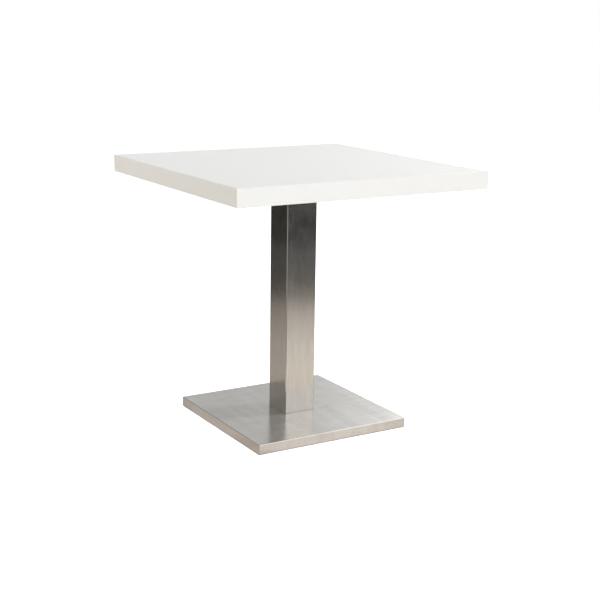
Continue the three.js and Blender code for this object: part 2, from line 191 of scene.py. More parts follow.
def stainless_finish(name, tint, roughness, anisotropy, metallic):
    """Brushed stainless: grooves at three widths along the grain, which is V in the UV map, and
    the faint marks of a cloth. A metallic value a little below 1 gives the pale haze of a
    brushed surface."""
    finish = Finish(name, Metallic=metallic, Anisotropic=anisotropy)
    fine = finish.noise(finish.place((1, 0.03, 1), "UV"), 3000.0, 2.0, 0.6)
    brush = finish.noise(finish.place((1, 0.05, 1), "UV"), 380.0, 4.0, 0.65)
    broad = finish.noise(finish.place((1, 0.15, 1), "UV"), 45.0, 3.0)
    smudge = finish.noise(finish.place(), 22.0, 5.0, 0.65)
    wipe = finish.noise(finish.place((1, 0.1, 0.1)), 26.0, 3.0, 0.6)
    scratch = finish.sum(finish.sum(fine, 0.5, "MULTIPLY"), finish.sum(brush, 0.5, "MULTIPLY"))
    tone = finish.sum(finish.sum(scratch, 0.75, "MULTIPLY"), finish.sum(broad, 0.25, "MULTIPLY"))
    dark = tuple(0.90 * value for value in tint)
    light = tuple(min(1.0, 1.09 * value) for value in tint)
    tone = finish.sum(finish.span(tone, 0, 1, 0.38, 0.62), finish.span(wipe, -0.3, 0.3, 0.3, 0.7))
    finish.set("Base Color", finish.blend(tone, dark, light))
    gloss = finish.span(scratch, roughness - 0.03, roughness + 0.03, 0.35, 0.65)
    finish.set("Roughness", finish.sum(gloss, finish.span(smudge, -0.02, 0.05, 0.35, 0.7)))
    tangent = finish.node("ShaderNodeTangent", direction_type="UV_MAP", uv_map="grain")
    finish.set("Tangent", tangent.outputs["Tangent"])
    finish.bump(scratch, 0.06, 0.00002)
    return finish.material


def zinc_finish():
    """Bright zinc plating with a faint crystalline mottle and dulled patches."""
    finish = Finish("zinc_plate", Metallic=1.0)
    mottle = finish.noise(finish.place(), 700.0, 3.0, 0.6)
    patch = finish.noise(finish.place(), 160.0, 3.0)
    finish.set("Base Color", finish.blend(patch, (0.50, 0.51, 0.52), (0.70, 0.70, 0.69)))
    finish.set("Roughness", finish.span(mottle, 0.26, 0.48))
    finish.bump(mottle, 0.15, 0.00004)
    return finish.material


def nylon_finish():
    """Moulded black nylon with a spark-eroded texture and scuffs."""
    finish = Finish("black_nylon", Specular_IOR_Level=0.45)
    grain = finish.noise(finish.place(), 1800.0, 3.0, 0.6)
    scuff = finish.noise(finish.place(), 90.0, 4.0, 0.7)
    tone = finish.span(scuff, 0, 1, 0.4, 0.8)
    finish.set("Base Color", finish.blend(tone, (0.014, 0.014, 0.015), (0.05, 0.05, 0.05)))
    finish.set("Roughness", finish.span(grain, 0.42, 0.62))
    finish.bump(grain, 0.3, 0.0001)
    return finish.material


LAMINATE = laminate_finish()
EDGE_BAND = edge_band_finish()
CHIPBOARD = chipboard_finish()
BACKING = backing_finish()
CAST_IRON = cast_iron_finish()
COLUMN_STEEL = stainless_finish("brushed_column", (0.63, 0.61, 0.58), 0.16, 0.75, 0.95)
COVER_STEEL = stainless_finish("brushed_cover", (0.64, 0.625, 0.60), 0.20, 0.8, 0.80)
ZINC = zinc_finish()
NYLON = nylon_finish()


# ---- mesh building ----------------------------------------------------------------------


FACE_AREA_WEIGHT = 100
# rings of a thread for each turn, and its depth as a share of its pitch
THREAD_STEPS = 6
THREAD_DEPTH = 0.61


def piece(name, built, material, body, nodes, smooth_degrees=32):
    """Makes an object of a bmesh, rides it on its body and lets it stand for its CAD nodes."""
    bmesh.ops.recalc_face_normals(built, faces=built.faces)
    mesh = bpy.data.meshes.new(name)
    built.to_mesh(mesh)
    built.free()
    return placed(name, mesh, material, body, nodes, smooth_degrees)


def placed(name, mesh, material, body, nodes, smooth_degrees=32):
    """The same for a finished mesh. Edges sharper than smooth_degrees stay sharp."""
    mesh.materials.clear()
    mesh.materials.append(material)
    mesh.shade_smooth()
    mesh.set_sharp_from_angle(angle=math.radians(smooth_degrees))
    thing = bpy.data.objects.new(name, mesh)
    scene.collection.objects.link(thing)
    # large flat faces keep their own direction, so that reflections stay straight in them
    weighted = thing.modifiers.new("weighted", "WEIGHTED_NORMAL")
    weighted.weight = FACE_AREA_WEIGHT
    weighted.keep_sharp = True
    thing.data = evaluated_mesh(thing)
    thing.modifiers.clear()
    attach(thing, body)
    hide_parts(*nodes)
    return thing


def evaluated_mesh(thing):
    """A new mesh of the object with its modifiers applied."""
    bpy.context.view_layer.update()
    evaluated = thing.evaluated_get(bpy.context.evaluated_depsgraph_get())
    return bpy.data.meshes.new_from_object(evaluated)


def in_scene(name, built):
    """An object of a bmesh, which is used up."""
    bmesh.ops.recalc_face_normals(built, faces=built.faces)
    mesh = bpy.data.meshes.new(name)
    built.to_mesh(mesh)
    built.free()
    thing = bpy.data.objects.new(name, mesh)
    scene.collection.objects.link(thing)
    return thing


def middle(low, high):
    return (low.x + high.x) / 2, (low.y + high.y) / 2


def block(low, high, radius, segments=2):
    """A box with every edge rounded."""
    built = bmesh.new()
    bmesh.ops.create_cube(built, size=1.0)
    low, high = Vector(low), Vector(high)
    for vertex in built.verts:
        vertex.co = Vector(low[i] + (vertex.co[i] + 0.5) * (high[i] - low[i]) for i in range(3))
    edges = built.edges[:]
    bmesh.ops.bevel(built, geom=edges, offset=radius, segments=segments, profile=0.5, affect="EDGES")
    return built


def loft(rings, closed=False):
    """Quads between rings of equal length. A closed loft joins the last ring to the first;
    an open one gets a cap at each end."""
    built = bmesh.new()
    made = [[built.verts.new(point) for point in ring] for ring in rings]
    pairs = list(zip(made, made[1:]))
    if closed:
        pairs.append((made[-1], made[0]))
    count = len(made[0])
    for lower, upper in pairs:
        for i in range(count):
            j = (i + 1) % count
            built.faces.new((lower[i], lower[j], upper[j], upper[i]))
    if not closed:
        built.faces.new(made[0][::-1])
        built.faces.new(made[-1])
    return built


def circle(radius, z, x=0.0, y=0.0, count=48):
    angles = [i * (2 * math.pi / count) for i in range(count)]
    return [Vector((x + radius * math.cos(a), y + radius * math.sin(a), z)) for a in angles]


def rounded_square(half, radius, z, steps=6):
    """A ring round a square with rounded corners, from the +X +Y corner anticlockwise."""
    points = []
    for corner in range(4):
        diagonal = math.radians(45 + 90 * corner)
        x = math.copysign(half - radius, math.cos(diagonal))
        y = math.copysign(half - radius, math.sin(diagonal))
        for step in range(steps + 1):
            angle = diagonal + math.radians(-45 + 90 * step / steps)
            points.append(Vector((x + radius * math.cos(angle), y + radius * math.sin(angle), z)))
    return points


def turned(outline, x=0.0, y=0.0, count=48, closed=False):
    """A turned piece from its (radius, height) outline."""
    return loft([circle(radius, z, x, y, count) for radius, z in outline], closed)


def thread_rings(radius, pitch, bottom, top, plain=None, x=0.0, y=0.0, count=24):
    """Rings of a rod with a helical thread and chamfered ends. It is plain between the two
    heights in plain."""
    depth = THREAD_DEPTH * pitch
    rings, z = [], bottom
    while z <= top + 1e-9:
        ring = []
        ends = min(z - bottom, top - z)
        smooth = plain is not None and plain[0] < z < plain[1]
        for i in range(count):
            angle = 2 * math.pi * i / count
            phase = (z / pitch - i / count) % 1.0
            groove = 0.0 if smooth else depth * (1 - abs(2 * phase - 1))
            chamfer = max(0.0, depth - ends)
            r = radius - max(groove, chamfer)
            ring.append(Vector((x + r * math.cos(angle), y + r * math.sin(angle), z)))
        rings.append(ring)
        in_plain = plain is not None and plain[0] + pitch < z < plain[1] - pitch
        z = plain[1] - pitch if in_plain else z + pitch / THREAD_STEPS
    return rings


def join(*parts):
    """One bmesh that holds the closed bodies of several."""
    whole = bmesh.new()
    for part in parts:
        mesh = bpy.data.meshes.new("part")
        part.to_mesh(mesh)
        part.free()
        whole.from_mesh(mesh)
        bpy.data.meshes.remove(mesh)
    return whole


def with_holes(name, built, cutters):
    """The bmesh with cutters taken away, as a mesh. The cutters don't overlap each other."""
    body = in_scene(name, built)
    tool = in_scene(name + "_tools", join(*cutters))
    cut = body.modifiers.new("cut", "BOOLEAN")
    cut.operation = "DIFFERENCE"
    cut.solver = "EXACT"
    cut.object = tool
    result = evaluated_mesh(body)
    bpy.data.objects.remove(body)
    bpy.data.objects.remove(tool)
    return result


def drill(radius, low, high, x=0.0, y=0.0, count=32):
    """A cutter for a hole that runs out at both heights."""
    return turned([(radius, low - MM), (radius, high + MM)], x, y, count)


def casting(name, node, voxel, keep, bores=()):
    """A CAD node's solid with the soft edges of a sand casting. Each (radius, x, y) in bores is a
    hole from its lowest to its highest face: it is filled in the casting and drilled after it."""
    low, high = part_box(node)
    solid = bmesh.new()
    solid.from_mesh(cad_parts[node].data)
    plugs = [turned([(radius + MM, low.z), (radius + MM, high.z)], x, y, 24) for radius, x, y in bores]
    body = in_scene(name, join(solid, *plugs))
    remesh = body.modifiers.new("remesh", "REMESH")
    remesh.mode = "VOXEL"
    remesh.voxel_size = voxel
    smooth = body.modifiers.new("smooth", "SMOOTH")
    smooth.factor = 0.5
    smooth.iterations = 3
    thin = body.modifiers.new("thin", "DECIMATE")
    thin.ratio = keep
    result = evaluated_mesh(body)
    bpy.data.objects.remove(body)
    if not bores:
        return result
    cast = bmesh.new()
    cast.from_mesh(result)
    return with_holes(name, cast, [drill(radius, low.z, high.z, x, y) for radius, x, y in bores])


def add_grain(mesh, flat_grain):
    """A UV map in metres with V along the brushing: flat_grain on level faces and along each
    wall's length on the others, or straight up where flat_grain is the Z axis."""
    layer = mesh.uv_layers.new(name="grain")
    up = Vector((0, 0, 1))
    for face in mesh.polygons:
        grain = Vector(flat_grain)
        if flat_grain[2] == 0 and abs(face.normal.z) < 0.7:
            grain = up.cross(face.normal)
        across = grain.cross(face.normal)
        if across.length < 0.2:
            across = Vector((1, 0, 0))
        across.normalize()
        along = face.normal.cross(across)
        for loop in face.loop_indices:
            corner = mesh.vertices[mesh.loops[loop].vertex_index].co
            layer.data[loop].uv = (corner.dot(across), corner.dot(along))


# ---- the tabletop -----------------------------------------------------------------------


def board(name, node, edge, material, segments=2):
    """A sheet or strip of the top, with its edges rounded."""
    low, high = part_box(node)
    piece(name, block(low, high, edge, segments), material, "table", [node])


def tabletop():
    """The laid-up top: laminate, board, backing, the strips below its rim and its edging."""
    board("laminate_sheet", "top_laminate", 0.15 * MM, LAMINATE)
    board("particle_board", "top_board", 0.3 * MM, CHIPBOARD)
    board("backing_sheet", "backing_laminate", 0.1 * MM, BACKING)
    for side in SIDES:
        board(f"build_up_strip_{side}", f"edge_strip_{side}", 0.4 * MM, CHIPBOARD)
        board(f"edging_{side}", f"edge_band_{side}", 0.6 * MM, EDGE_BAND, 3)


# ---- the spider, its screws and the tie rod ---------------------------------------------


SCREW_SIDES = 24
RECESS_DEPTH = 1.6 * MM
ROD_PITCH = 1.75 * MM
ROD_THREAD = 55 * MM
ROD_HOLES = {"nut": 6.1 * MM, "flat_washer": 6.4 * MM, "spring_washer": 6.3 * MM}


def cross_recess(x, y, head, way):
    """The cutter for the cross in a screw's head, whose arms taper inwards."""
    reach, half_width, taper = 2.3 * MM, 0.45 * MM, 0.45

    def cross(arm, z):
        ring = []
        for turn in range(4):
            along, aside = Matrix.Rotation(math.radians(90 * turn), 2), half_width
            for corner in ((arm, -aside), (arm, aside), (aside, aside)):
                at = along @ Vector(corner)
                ring.append(Vector((x + at.x, y + at.y, z)))
        return ring

    outer = head - way * RECESS_DEPTH
    inner = head + way * RECESS_DEPTH
    return loft([cross(reach, outer), cross(reach, head), cross(taper * reach, inner)])


def countersunk_screw(name, node, head_up, pitch, tip):
    """A countersunk screw in its CAD node's box: head, cross recess, thread and a tip that
    narrows over its last stretch."""
    low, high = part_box(node)
    x, y = middle(low, high)
    head_radius = (high.x - low.x) / 2
    shank = 0.51 * head_radius
    groove = 0.25 * pitch
    blunt = 0.18
    head, end, way = (high.z, low.z, -1) if head_up else (low.z, high.z, 1)
    length = abs(end - head)
    head_outline = [(0.6 * head_radius, 0.0), (head_radius - 0.15 * MM, 0.0), (head_radius, 0.2 * MM)]
    rings = [circle(radius, head + way * along, x, y, SCREW_SIDES) for radius, along in head_outline]
    neck = head_radius - shank + 0.3 * MM
    steps = int((length - neck) / (pitch / THREAD_STEPS))
    for step in range(steps + 1):
        along = neck + (length - neck) * step / steps
        taper = min(1.0, (length - along) / tip + blunt)
        ring = []
        for i in range(SCREW_SIDES):
            angle = 2 * math.pi * i / SCREW_SIDES
            phase = (along / pitch - i / SCREW_SIDES) % 1.0
            r = (shank - groove * (1 - abs(2 * phase - 1))) * taper
            ring.append(Vector((x + r * math.cos(angle), y + r * math.sin(angle), head + way * along)))
        rings.append(ring)
    mesh = with_holes(name, loft(rings), [cross_recess(x, y, head, way)])
    return placed(name, mesh, ZINC, "table", [node])


def hex_nut(name, node, hole):
    """A chamfered hexagon nut with a countersunk hole."""
    low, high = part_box(node)
    x, y = middle(low, high)
    flat = (high.y - low.y) / 2
    count = 60

    def ring(radius_at, z_at):
        points = []
        for i in range(count):
            angle = 2 * math.pi * i / count
            from_flat = (angle - math.pi / 6) % (math.pi / 3) - math.pi / 6
            hexagon = flat / math.cos(from_flat)
            r = radius_at(hexagon)
            points.append(Vector((x + r * math.cos(angle), y + r * math.sin(angle), z_at(hexagon))))
        return points

    face = 0.96 * flat
    slope = math.tan(math.radians(30))
    mouth = 0.8 * MM
    rings = [
        ring(lambda h: hole, lambda h: low.z + mouth),
        ring(lambda h: hole + mouth, lambda h: low.z),
        ring(lambda h: face, lambda h: low.z),
        ring(lambda h: h, lambda h: low.z + (h - face) * slope),
        ring(lambda h: h, lambda h: high.z - (h - face) * slope),
        ring(lambda h: face, lambda h: high.z),
        ring(lambda h: hole + mouth, lambda h: high.z),
        ring(lambda h: hole, lambda h: high.z - mouth),
    ]
    piece(name, loft(rings, closed=True), ZINC, "table", [node])


def flat_washer(name, node, hole):
    """A flat ring with rounded edges."""
    low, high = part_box(node)
    radius = (high.x - low.x) / 2
    edge = 0.3 * MM
    outline = [
        (hole, low.z + edge), (hole + edge, low.z),
        (radius - edge, low.z), (radius, low.z + edge),
        (radius, high.z - edge), (radius - edge, high.z),
        (hole + edge, high.z), (hole, high.z - edge),
    ]
    piece(name, turned(outline, closed=True), ZINC, "table", [node])


def spring_washer(name, node, hole):
    """A split ring whose two ends step past each other."""
    low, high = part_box(node)
    radius = (high.x - low.x) / 2
    split, count, lift = math.radians(9), 56, 0.7 * MM
    thick = high.z - low.z - lift
    rings = []
    for i in range(count + 1):
        share = i / count
        angle = split + (2 * math.pi - 2 * split) * share
        out = Vector((math.cos(angle), math.sin(angle), 0))
        z = low.z + lift * share
        section = ((hole, z), (radius, z), (radius, z + thick), (hole, z + thick))
        rings.append([out * r + Vector((0, 0, level)) for r, level in section])
    piece(name, loft(rings), ZINC, "table", [node])


def support():
    """The cast spider, the wood screws that hold it to the board, and the tie rod's fittings."""
    spider = casting("spider_casting", "top_spider", 1.0 * MM, 0.16)
    placed("spider_casting", spider, CAST_IRON, "table", ["top_spider"], 50)
    for side in SIDES:
        for ring in ("inner", "outer"):
            node = f"spider_screw_{side}_{ring}"
            countersunk_screw(f"wood_screw_{side}_{ring}", node, False, 1.8 * MM, 5 * MM)
    low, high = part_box("tie_rod")
    plain = (low.z + ROD_THREAD, high.z - ROD_THREAD)
    rings = thread_rings((high.x - low.x) / 2, ROD_PITCH, low.z, high.z, plain)
    piece("threaded_tie_rod", loft(rings), ZINC, "table", ["tie_rod"], 60)
    for end in ("upper", "lower"):
        hex_nut(f"hexagon_nut_{end}", f"{end}_nut", ROD_HOLES["nut"])
        flat_washer(f"flat_washer_{end}", f"{end}_washer", ROD_HOLES["flat_washer"])
    spring_washer("split_washer", "upper_spring_washer", ROD_HOLES["spring_washer"])


# ---- the column -------------------------------------------------------------------------


ROD_HOLE = 7.0 * MM
SEAT_SCREW_HOLE = 3.3 * MM
STUD_HOLE = 4.3 * MM


def column():
    """A drawn square tube with rounded corners and deburred ends."""
    low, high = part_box("column")
    half = (high.x - low.x) / 2
    radius, wall, burr, foot = 3.0 * MM, 1.5 * MM, 0.2 * MM, 0.6 * MM

    def ring(inset, z):
        return rounded_square(half - inset, radius - inset, z)

    rings = [
        ring(0, low.z + foot), ring(0, high.z - burr),
        ring(burr, high.z), ring(wall - burr, high.z),
        ring(wall, high.z - burr), ring(wall, low.z + burr),
        ring(wall - burr, low.z), ring(foot, low.z),
    ]
    tube = loft(rings, closed=True)
    thing = piece("square_tube", tube, COLUMN_STEEL, "table", ["column"])
    add_grain(thing.data, (0, 0, 1))


def seat():
    """The plate inside the column's foot, with its countersunk holes and screws."""
    low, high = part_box("column_seat")
    half = (high.x - low.x) / 2
    radius, edge = 3.0 * MM, 0.4 * MM

    def ring(inset, z):
        return rounded_square(half - inset, radius - inset, z)

    rings = [ring(edge, low.z), ring(0, low.z + edge), ring(0, high.z - edge), ring(edge, high.z)]
    holes = [drill(ROD_HOLE, low.z, high.z)]
    for corner in CORNERS:
        screw_low, screw_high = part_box(f"seat_screw_{corner}")
        head = (screw_high.x - screw_low.x) / 2
        shank, mouth = 0.58 * head, head + 0.7 * MM
        outline = [
            (shank, low.z - MM), (shank, high.z - 0.5 * head),
            (mouth, high.z), (mouth + MM, high.z + MM),
        ]
        holes.append(turned(outline, *middle(screw_low, screw_high), 32))
        countersunk_screw(f"machine_screw_{corner}", f"seat_screw_{corner}", True, 1.0 * MM, 1.0 * MM)
    plate = with_holes("seat_plate", loft(rings), holes)
    placed("seat_plate", plate, ZINC, "table", ["column_seat"])


# ---- the base ---------------------------------------------------------------------------


def cover():
    """One folded sheet: a flat top, a fold, and a skirt whose lower edge is rounded like a closed hem."""
    low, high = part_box("base_cover")
    half, sheet = (high.x - low.x) / 2, 1.0 * MM
    fold, corner, hem = 2.0 * MM, 3.0 * MM, 0.5 * MM
    inner_fold = fold - sheet
    sharpest, burr = 0.4 * MM, 0.15 * MM
    fold_steps, corner_steps = 5, 6

    def hole_ring(z):
        points = rounded_square(half, corner, z, corner_steps)
        return [Vector((ROD_HOLE * p.x, ROD_HOLE * p.y, 0)) / p.xy.length + Vector((0, 0, z)) for p in points]

    def ring(inset, z):
        return rounded_square(half - inset, max(corner - inset, sharpest), z, corner_steps)

    bend = [math.radians(90 * step / fold_steps) for step in range(fold_steps + 1)]
    outside = [ring(fold * (1 - math.sin(a)), high.z - fold * (1 - math.cos(a))) for a in bend]
    under = high.z - sheet
    inside = [ring(sheet + inner_fold * (1 - math.sin(a)), under - inner_fold * (1 - math.cos(a)))
              for a in reversed(bend)]
    lip = [ring(0.0, low.z + hem), ring(0.2 * MM, low.z + burr), ring(hem, low.z),
           ring(sheet - 0.2 * MM, low.z + burr), ring(sheet, low.z + hem)]
    rings = [hole_ring(high.z)] + outside + lip + inside + [hole_ring(under)]
    holes = []
    for name in CORNERS:
        screw_low, screw_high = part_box(f"seat_screw_{name}")
        x, y = middle(screw_low, screw_high)
        holes.append(drill(SEAT_SCREW_HOLE, high.z - 2 * MM, high.z, x, y, 24))
    mesh = with_holes("folded_cover", loft(rings, closed=True), holes)
    thing = placed("folded_cover", mesh, COVER_STEEL, "table", ["base_cover"])
    add_grain(thing.data, (1, 0, 0))


def ballast():
    """The cast weight under the cover, with a drilled hole for each glide's stud."""
    bores = [(STUD_HOLE, *middle(*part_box(f"glide_stud_{corner}"))) for corner in CORNERS]
    cast = casting("ballast_casting", "ballast_plate", 2.0 * MM, 0.2, bores)
    placed("ballast_casting", cast, CAST_IRON, "table", ["ballast_plate"], 50)


# ---- the levelling glides ---------------------------------------------------------------


STUD_RADIUS = 3.95 * MM
STUD_PITCH = 1.25 * MM
# the stud's collar, which turns in the pad's socket: radius, and height above the stud's end
COLLAR = [(6.1 * MM, 0.0), (6.5 * MM, 0.4 * MM), (6.5 * MM, 2.1 * MM), (6.1 * MM, 2.5 * MM)]


def glides():
    """Four turned nylon pads, each with the threaded stud that moves it up and down."""
    for corner in CORNERS:
        low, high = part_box(f"glide_pad_{corner}")
        radius = (high.x - low.x) / 2
        mouth, socket = 4.3 * MM, 6.7 * MM
        underside = [
            (0.3 * radius, 0.4 * MM), (0.75 * radius, 0.4 * MM),
            (0.80 * radius, 0.0), (radius - 1.6 * MM, 0.0),
        ]
        side = [
            (radius - 0.5 * MM, 0.4 * MM), (radius, 1.5 * MM),
            (radius, 4.6 * MM), (radius - 0.4 * MM, 5.4 * MM),
            (radius - 4.4 * MM, 7.8 * MM), (radius - 5.2 * MM, 8.0 * MM),
        ]
        inside = [
            (mouth + 0.3 * MM, 8.0 * MM), (mouth, 7.7 * MM), (mouth, 7.1 * MM),
            (socket, 7.1 * MM), (socket, 4.0 * MM),
        ]
        outline = [(r, low.z + z) for r, z in underside + side + inside]
        piece(f"nylon_pad_{corner}", turned(outline, *middle(low, high)), NYLON,
              f"pad_{corner}", [f"glide_pad_{corner}"])

        low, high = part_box(f"glide_stud_{corner}")
        x, y = middle(low, high)
        rings = [circle(r, low.z + z, x, y, 32) for r, z in COLLAR]
        thread_start = low.z + COLLAR[-1][1]
        rings += thread_rings(STUD_RADIUS, STUD_PITCH, thread_start, high.z, x=x, y=y, count=32)
        piece(f"threaded_stud_{corner}", loft(rings), ZINC, f"stud_{corner}",
              [f"glide_stud_{corner}"], 60)


# ---- the stage --------------------------------------------------------------------------


FLOOR_RADIUS = 30.0
BACKDROP_RADIUS = 40.0
FLOOR_BOUNCE = 0.92
BOUNCE_DEPTH = 0.4 * MM
SWEEP_DEPTH = 0.2 * MM
PAPER = (0.33, 0.31, 0.29)
PAPER_STARTS = (0.5, 0.9)
SWEEP_RANGE = 10.0
SKY_STARTS = (math.sin(math.radians(13)), math.sin(math.radians(18.5)))
HIGH_STARTS = (math.sin(math.radians(24)), math.sin(math.radians(32)))
WARM = (1.0, 0.925, 0.84)
WARMER = (1.0, 0.895, 0.80)
NEUTRAL = (1.0, 1.0, 1.0)
SHADE_TINT = (1.0, 0.92, 0.80)
FRONT_TINT = (1.0, 0.98, 0.92)
LEFT_TINT = (1.0, 0.985, 0.965)
CORNER_TINT = (1.0, 0.935, 0.88)

# how bright the paper looks at each distance from the table's middle
SWEEP_LEVELS = [
    (0.0, 0.93, WARMER), (0.42, 0.93, WARMER), (0.55, 0.94, WARM), (0.84, 0.90, WARM), (1.07, 0.78, WARM),
    (1.30, 0.68, WARM), (1.42, 0.60, WARM), (1.55, 0.43, WARM), (1.66, 0.27, WARM), (1.78, 0.18, WARM),
    (1.92, 0.125, WARM), (2.3, 0.095, NEUTRAL), (2.68, 0.125, NEUTRAL), (2.98, 0.01, NEUTRAL),
    (4.0, 0.01, NEUTRAL), (5.0, 0.08, NEUTRAL), (7.5, 0.42, NEUTRAL),
]

# each list below goes round the table: the angle from the back towards the right, the level
# and the tint. First, where the paper stays bright however far out, on the camera's side
PAPER_SECTOR = [
    (-180, 0.7, NEUTRAL), (-150, 1.0, NEUTRAL), (-80, 1.0, NEUTRAL), (-50, 0.0, NEUTRAL),
    (155, 0.0, NEUTRAL), (180, 0.7, NEUTRAL),
]
# how much light falls on the paper
SWEEP_SHADE = [
    (-180, 1.0, NEUTRAL), (-146, 0.98, NEUTRAL), (-134, 0.66, CORNER_TINT), (-121, 0.56, CORNER_TINT),
    (-98, 0.64, LEFT_TINT), (-60, 0.62, LEFT_TINT), (-31, 0.51, LEFT_TINT), (20, 0.35, NEUTRAL),
    (60, 0.30, NEUTRAL), (100, 0.60, NEUTRAL), (134, 0.86, NEUTRAL), (147, 1.0, NEUTRAL),
    (180, 1.0, NEUTRAL),
]
# the surroundings near the horizon, above it, and high up
HORIZON_LEVELS = [
    (-180, 0.50, NEUTRAL), (-149, 0.25, NEUTRAL), (-90, 0.30, SHADE_TINT), (-50, 0.16, SHADE_TINT),
    (-25, 0.18, SHADE_TINT), (0, 0.45, NEUTRAL), (26, 0.55, NEUTRAL), (60, 0.48, NEUTRAL),
    (90, 0.40, NEUTRAL), (120, 0.70, NEUTRAL), (149, 1.2, NEUTRAL), (165, 0.8, NEUTRAL),
    (180, 0.50, NEUTRAL),
]
SKY_LEVELS = [
    (-180, 0.50, NEUTRAL), (-149, 0.22, NEUTRAL), (-100, 0.16, SHADE_TINT), (-50, 0.19, SHADE_TINT),
    (-20, 0.22, SHADE_TINT), (12, 0.60, NEUTRAL), (29, 0.60, NEUTRAL), (32, 0.72, NEUTRAL),
    (34, 1.0, NEUTRAL), (37, 1.66, NEUTRAL), (50, 1.9, NEUTRAL), (70, 0.25, NEUTRAL),
    (118, 0.25, NEUTRAL), (138, 1.25, FRONT_TINT), (150, 1.32, FRONT_TINT), (168, 0.8, NEUTRAL),
    (180, 0.50, NEUTRAL),
]
HIGH_LEVELS = [
    (-180, 0.60, NEUTRAL), (-100, 0.40, NEUTRAL), (-60, 0.60, NEUTRAL), (-25, 0.60, NEUTRAL),
    (0, 0.05, NEUTRAL), (15, 0.05, NEUTRAL), (35, 0.60, NEUTRAL), (60, 1.4, NEUTRAL),
    (90, 2.0, NEUTRAL), (150, 1.8, NEUTRAL), (180, 0.60, NEUTRAL),
]


def stage_surface(name, built, colour, strength, camera=False, diffuse=False, glossy=False):
    """An emitting surface of the studio that only the named kinds of ray see."""
    material = bpy.data.materials.new(name)
    material.use_nodes = True
    tree = material.node_tree
    tree.nodes.clear()
    emission = tree.nodes.new("ShaderNodeEmission")
    emission.inputs["Color"].default_value = (*colour, 1)
    emission.inputs["Strength"].default_value = strength
    output = tree.nodes.new("ShaderNodeOutputMaterial")
    tree.links.new(emission.outputs["Emission"], output.inputs["Surface"])
    thing = stage_object(name, built, material)
    thing.visible_camera = camera
    thing.visible_diffuse = diffuse
    thing.visible_glossy = glossy
    thing.visible_shadow = False
    return thing


def stage_object(name, built, material):
    """An object of the studio, which isn't part of the table."""
    mesh = bpy.data.meshes.new(name)
    built.to_mesh(mesh)
    built.free()
    mesh.materials.append(material)
    thing = bpy.data.objects.new(name, mesh)
    scene.collection.objects.link(thing)
    return thing


def disc(radius, z, count=96):
    built = bmesh.new()
    built.faces.new([built.verts.new(point) for point in circle(radius, z, count=count)])
    return built


def area_light(name, at, size, power, aim, colour=(1, 1, 1)):
    """A softbox that lights the table but isn't mirrored in the steel."""
    data = bpy.data.lights.new(name, "AREA")
    data.shape = "RECTANGLE"
    data.size, data.size_y = size
    data.energy = power
    data.color = colour
    lamp = bpy.data.objects.new(name, data)
    scene.collection.objects.link(lamp)
    lamp.location = at
    lamp.rotation_euler = (Vector(aim) - Vector(at)).to_track_quat("-Z", "Y").to_euler()
    lamp.visible_glossy = False
    lamp.visible_camera = False


def ramp(tree, value, stops):
    """A colour ramp over 0..1 from its (position, colour) stops."""
    made = tree.nodes.new("ShaderNodeValToRGB")
    made.color_ramp.interpolation = "EASE"
    for index, (position, colour) in enumerate(stops):
        elements = made.color_ramp.elements
        stop = elements[index] if index < 2 else elements.new(position)
        stop.position = position
        stop.color = (*colour, 1)
    tree.links.new(value, made.inputs["Fac"])
    return made.outputs["Color"]


def azimuth(tree, axes):
    """0..1 for the angle of a direction about the table, from the front round by the left,
    the back and the right."""
    angle = tree.nodes.new("ShaderNodeMath")
    angle.operation = "ARCTAN2"
    tree.links.new(axes.outputs["X"], angle.inputs[0])
    tree.links.new(axes.outputs["Y"], angle.inputs[1])
    turn = tree.nodes.new("ShaderNodeMapRange")
    turn.inputs["From Min"].default_value = -math.pi
    turn.inputs["From Max"].default_value = math.pi
    tree.links.new(angle.outputs["Value"], turn.inputs["Value"])
    return turn.outputs["Result"]


def round_ramp(tree, turn, levels):
    """A colour for each angle about the table, from its (degrees, level, tint) stops."""
    stops = [((180 + degrees) / 360, tuple(level * t for t in tint)) for degrees, level, tint in levels]
    return ramp(tree, turn, stops)


def mixed(tree, factor, a, b, blend_type="MIX"):
    """A mix of two colours, each a socket or a value."""
    made = tree.nodes.new("ShaderNodeMix")
    made.data_type = "RGBA"
    made.blend_type = blend_type
    for socket, value in (("Factor", factor), ("A", a), ("B", b)):
        if isinstance(value, bpy.types.NodeSocket):
            tree.links.new(value, made.inputs[socket])
        else:
            made.inputs[socket].default_value = value
    return made.outputs["Result"]


def smooth_rise(tree, value, start, end):
    """0 up to start and 1 from end on, with a soft step between them."""
    made = tree.nodes.new("ShaderNodeMapRange")
    made.interpolation_type = "SMOOTHSTEP"
    made.inputs["From Min"].default_value = start
    made.inputs["From Max"].default_value = end
    tree.links.new(value, made.inputs["Value"])
    return made.outputs["Result"]


